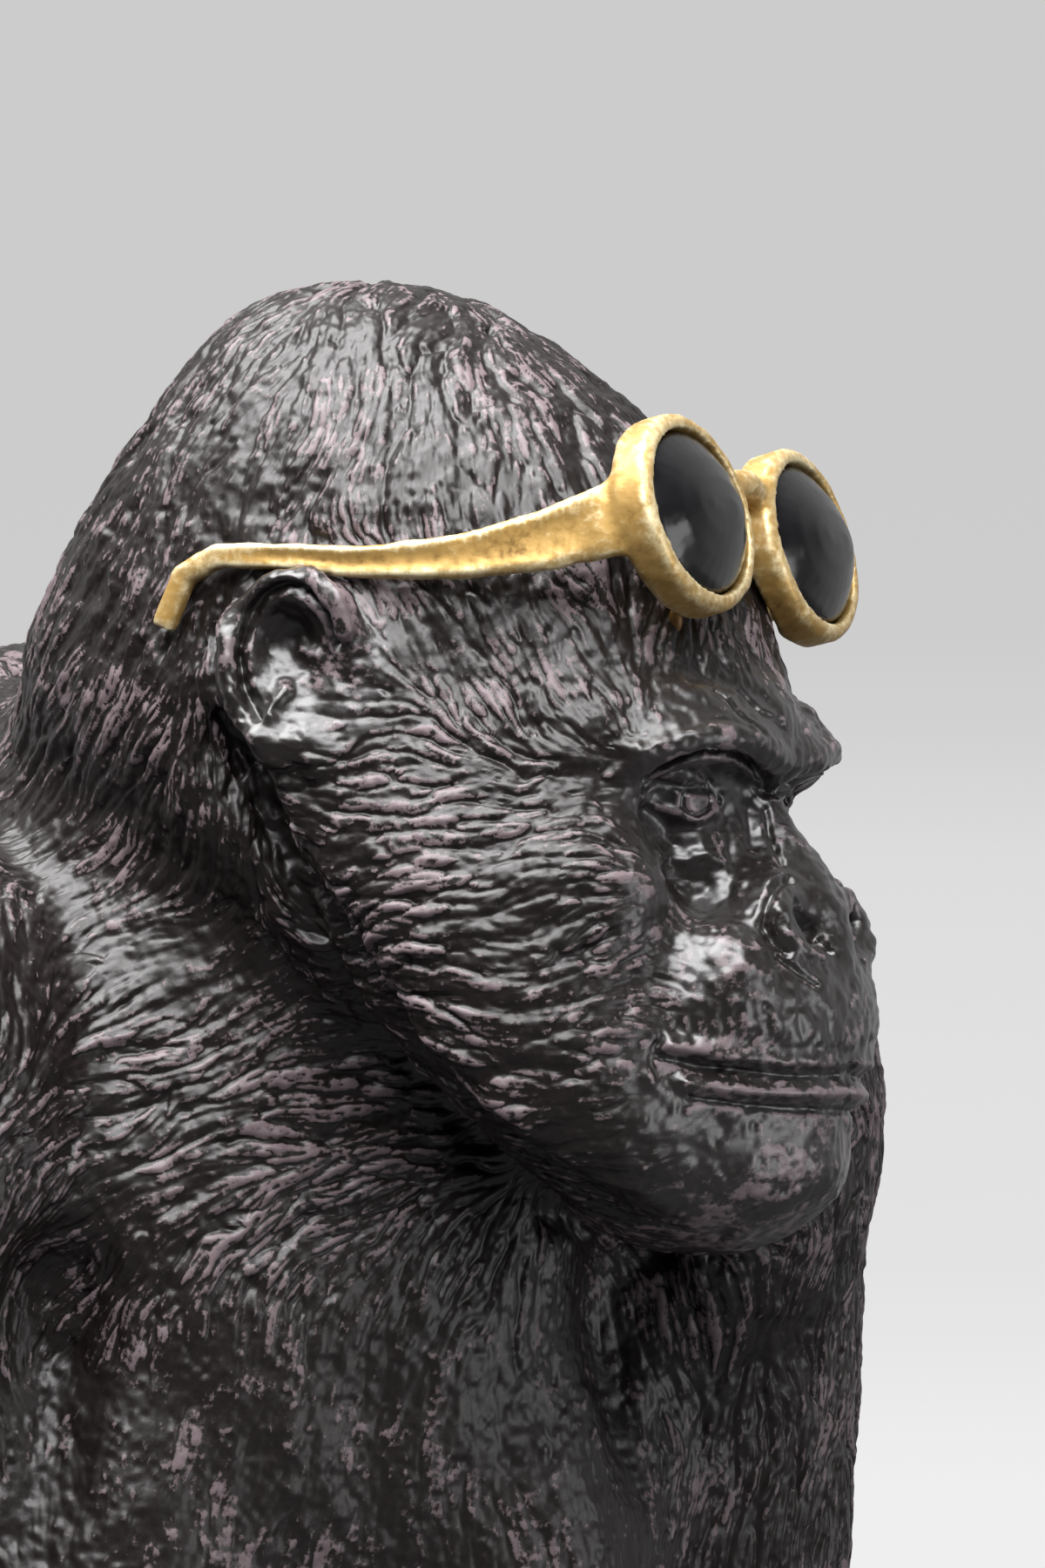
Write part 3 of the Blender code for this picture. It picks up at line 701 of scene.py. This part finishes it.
GOLD_BROWN_AND_SHADE = "#5e421a"
GOLD_BODY = "#b08d50"
GOLD_PALE_AND_HIGHLIGHT = "#f0e2b8"
TEMPLE_HOLLOW = 0.00055
FILE_DENTS = 0.00006
BRUSH_RIDGES = 0.00003
HIGHLIGHT_CREST = 0.0005
DROP_ACROSS = 33.9
DROP_UP = 18.2
DROP_RADIUS = 0.0012


def gold_paint(tree):
    """Gold brushed along the temples, with a painted highlight on what stands up and painted brown shade in
    the corners.
    """
    place = node(tree, "ShaderNodeTexCoord").outputs["Object"]
    raised_at = node(tree, "ShaderNodeAttribute", {"attribute_name": "raised"}).outputs["Fac"]
    turned = node(tree, "ShaderNodeMapping", {}, {"Vector": place})
    turned.inputs["Rotation"].default_value = (0, 0, math.radians(-HEAD_TURN))
    turned.inputs["Scale"].default_value = (1, 0.22, 1)
    patch = grain(tree, place, 7.0, 4.0, 0.6)
    stroke = grain(tree, turned.outputs["Vector"], 0.9, 5.0, 0.65)
    # Pale gold on what stands up is a painted highlight and brown in the hollows is painted shade; the
    # patches and streaks are the paint's own tones
    highlight_and_streaks = weighted(tree, ((0.9, raised_at), (0.7, patch), (0.6, stroke)), -0.6)
    body = mixed_colour(tree, stepped(tree, highlight_and_streaks, 0.1, 0.5), GOLD_BROWN_AND_SHADE, GOLD_BODY)
    colour = mixed_colour(tree, stepped(tree, highlight_and_streaks, 0.50, 0.95), body, GOLD_PALE_AND_HIGHLIGHT)
    rough = weighted(tree, ((0.3, stroke),), 0.28)
    bumped = node(
        tree, "ShaderNodeBump", {"Strength": 0.3, "Distance": 0.00012}, {"Height": stroke}
    ).outputs["Normal"]
    surface = node(
        tree, "ShaderNodeBsdfPrincipled", {"Metallic": 0.5},
        {"Base Color": colour, "Roughness": rough, "Normal": bumped},
    )
    node(tree, "ShaderNodeOutputMaterial", {}, {"Surface": surface.outputs[0]})


glasses = copy_of_node("glasses_frame", "gilded_frame")
with_modifier(glasses, "REMESH", mode="VOXEL", voxel_size=0.00042 * 1)
with_modifier(glasses, "SMOOTH", factor=0.5, iterations=5)
metal = points_of(glasses.data)
metal_out = points_of(glasses.data, "vertex_normals", "vector")
place = in_head(metal)
# Hollow along the outside of each temple, between edges that keep their height
beside, along, high = np.abs(place[:, 0]), place[:, 1], place[:, 2]
outer = (beside > 33) & (along > -34) & (along < 42)
slot_number = np.floor(along[outer]).astype(int) + 40 + 90 * (place[outer, 0] > 0)
lowest = np.full(200, 999.0)
highest = np.full(200, -999.0)
np.minimum.at(lowest, slot_number, high[outer])
np.maximum.at(highest, slot_number, high[outer])
low_edge, high_edge = lowest[slot_number], highest[slot_number]
height_share = (2 * high[outer] - low_edge - high_edge) / (high_edge - low_edge)
faces_out = np.abs(metal_out[outer] @ np.array(HEAD_PLACE.to_3x3().col[0], dtype=np.float32))
hollow = TEMPLE_HOLLOW * np.clip(1 - (height_share / 0.72) ** 2, 0, 1) * ramp(0.5, 0.85, faces_out)
hollow *= ramp(-20, 5, along[outer]) * ramp(42, 38, along[outer])
metal[outer] -= metal_out[outer] * hollow[:, None].astype(np.float32)
dents = FILE_DENTS * mottle(metal, 0.0032, 4.4) + BRUSH_RIDGES * mottle(metal, 0.0011, 9.4)
metal = metal + metal_out * dents[:, None]
glasses.data.vertices.foreach_set("co", metal.ravel())
glasses.data.update()
stands_up = ((metal - relaxed(metal, 8, links_of(glasses.data))) * metal_out).sum(axis=1)
crest = np.clip(0.5 + stands_up / HIGHLIGHT_CREST, 0, 1)
glasses.data.attributes.new("raised", "FLOAT", "POINT").data.foreach_set("value", crest.astype(np.float32))
glasses.data.shade_smooth()
glasses.data.materials.clear()
gilding = painted("hand_gilded_paint", gold_paint)
glasses.data.materials.append(gilding)
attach(glasses, "root")
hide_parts("glasses_frame")

# A drop of gold paint ran down below the right rim and dried on the forehead
drop_at = met(DROP_ACROSS, DROP_UP)
deselect_all()
bpy.ops.mesh.primitive_uv_sphere_add(segments=24, ring_count=16, radius=DROP_RADIUS)
drop = bpy.context.object
drop.name = "gold_drop"
drop.scale = (0.8, 0.5, 1.6)
drop.rotation_euler = (math.radians(12), 0, math.radians(HEAD_TURN - 55))
drop.location = HEAD_PLACE @ (Vector((-drop_at[0], -drop_at[1], drop_at[2])) * 0.001)
bpy.ops.object.transform_apply(location=True, rotation=True, scale=True)
bpy.ops.object.shade_smooth()
drop.data.materials.append(gilding)
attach(drop, "root")


# Lenses
# Two blind cast domes, each glued in its rim and brushed with thick black gloss that dried a little
# uneven. Nothing shows through them.

GLOSS_DEEP = "#09090a"
GLOSS_THIN = "#1a1a1c"


def lens_paint(tree):
    """Thick black gloss, with the swirl of the brush in its sheen."""
    place = node(tree, "ShaderNodeTexCoord").outputs["Object"]
    swirl = grain(tree, place, 5.0, 3.0)
    fine = grain(tree, place, 0.8, 3.0)
    colour = mixed_colour(tree, swirl, GLOSS_DEEP, GLOSS_THIN)
    rough = weighted(tree, ((0.2, swirl), (0.08, fine)), 0.06)
    bumped = node(
        tree, "ShaderNodeBump", {"Strength": 0.35, "Distance": 0.0003}, {"Height": swirl}
    ).outputs["Normal"]
    surface = node(
        tree, "ShaderNodeBsdfPrincipled", {}, {"Base Color": colour, "Roughness": rough, "Normal": bumped}
    )
    node(tree, "ShaderNodeOutputMaterial", {}, {"Surface": surface.outputs[0]})


lens_black = painted("brushed_black_gloss", lens_paint)
for side in ("left", "right"):
    dome = copy_of_node(f"lens_{side}", f"glossy_lens_{side}")
    with_modifier(dome, "REMESH", mode="VOXEL", voxel_size=0.00035)
    with_modifier(dome, "SMOOTH", factor=0.5, iterations=8)
    dome.data.shade_smooth()
    dome.data.materials.clear()
    dome.data.materials.append(lens_black)
    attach(dome, "root")
    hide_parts(f"lens_{side}")


# Photograph's view, floor and light
# The figure stands on grey paper before a pale sweep, with its head filling most of the picture. A soft
# light hangs over it, another over the camera, and a weaker one stands low on the right.

CAMERA_DISTANCE = 1.0
PICTURE_HEIGHT = 0.2106
PICTURE_SHIFT = right * 0.01404 + Vector((0, 0, -0.0023))
camera = bpy.data.objects.new("camera", bpy.data.cameras.new("camera"))
camera.data.sensor_width = 36
camera.data.lens = 36 * CAMERA_DISTANCE / PICTURE_HEIGHT
camera.location = HEAD_MIDDLE + PICTURE_SHIFT + back * CAMERA_DISTANCE
camera.rotation_euler = (-back).to_track_quat("-Z", "Y").to_euler()
bpy.context.scene.collection.objects.link(camera)
bpy.context.scene.camera = camera

deselect_all()
bpy.ops.mesh.primitive_circle_add(vertices=96, radius=1.1, fill_type="NGON", location=(0, 0, -0.0005))
floor = bpy.context.object
floor.name = "floor"


def paper(tree):
    """Matt grey paper."""
    surface = node(tree, "ShaderNodeBsdfPrincipled", {"Base Color": linear("#4c4c4c"), "Roughness": 0.9})
    node(tree, "ShaderNodeOutputMaterial", {}, {"Surface": surface.outputs[0]})


floor.data.materials.append(painted("matt_paper", paper))

# The sweep behind the figure is grey above and nearly white below the head: a painted fall of light across it
world = bpy.data.worlds.new("studio")
bpy.context.scene.world = world
world.use_nodes = True
sky = world.node_tree
sky.nodes.clear()
way = node(sky, "ShaderNodeTexCoord").outputs["Generated"]
height = node(sky, "ShaderNodeSeparateXYZ", {}, {0: way}).outputs["Z"]
band = node(sky, "ShaderNodeMapRange", {"From Min": -0.10, "From Max": 0.06}, {"Value": height})
sweep = node(sky, "ShaderNodeValToRGB", {}, {"Fac": band.outputs["Result"]})
for position, code in (
    (0.04, "#efefef"),
    (0.13, "#e9e9e9"),
    (0.22, "#e3e3e3"),
    (0.40, "#e1e1e1"),
    (0.57, "#dcdcdc"),
    (0.66, "#d3d3d3"),
    (0.75, "#cdcdcd"),
    (0.92, "#cccccc"),
):
    stop = sweep.color_ramp.elements.new(position)
    stop.color = linear(code)
sweep.color_ramp.elements.remove(sweep.color_ramp.elements[-1])
sweep.color_ramp.elements.remove(sweep.color_ramp.elements[0])
# The object is lit by a dim room in front and a brighter sweep behind
behind = node(sky, "ShaderNodeVectorMath", {"operation": "DOT_PRODUCT", 1: tuple(-back)}, {0: way})
board = stepped(sky, behind.outputs["Value"], -0.25, 0.45, 0.02, 0.45)
glow = node(sky, "ShaderNodeBackground", {"Color": linear("#ffffff")}, {"Strength": board})
seen = node(sky, "ShaderNodeBackground", {"Strength": 1.0}, {"Color": sweep.outputs["Color"]})
ray = node(sky, "ShaderNodeLightPath")
mixed = node(
    sky, "ShaderNodeMixShader", {}, {0: ray.outputs["Is Camera Ray"], 1: glow.outputs[0], 2: seen.outputs[0]}
)
node(sky, "ShaderNodeOutputWorld", {}, {"Surface": mixed.outputs[0]})


def soft_light(name, place, size, radiance):
    """A flat white lamp that faces the head, its power set from how bright its face is."""
    lamp = bpy.data.objects.new(name, bpy.data.lights.new(name, "AREA"))
    lamp.data.shape = "RECTANGLE"
    lamp.data.size, lamp.data.size_y = size
    lamp.data.energy = radiance * math.pi * size[0] * size[1]
    lamp.location = HEAD_MIDDLE + place
    lamp.rotation_euler = place.to_track_quat("Z", "Y").to_euler()
    bpy.context.scene.collection.objects.link(lamp)


overhead = Vector((0, 0, 1))
soft_light("overhead", overhead * 0.80 - right * 0.26 + back * 0.15, (0.70, 0.80), 15.0)
soft_light("front_top", overhead * 0.66 + back * 0.72 + right * 0.12, (0.8, 0.5), 13.0)
soft_light("right_low", right * 0.70 - overhead * 0.22 + back * 0.28, (0.35, 0.6), 3.5)
bpy.context.scene.view_settings.view_transform = "Standard"
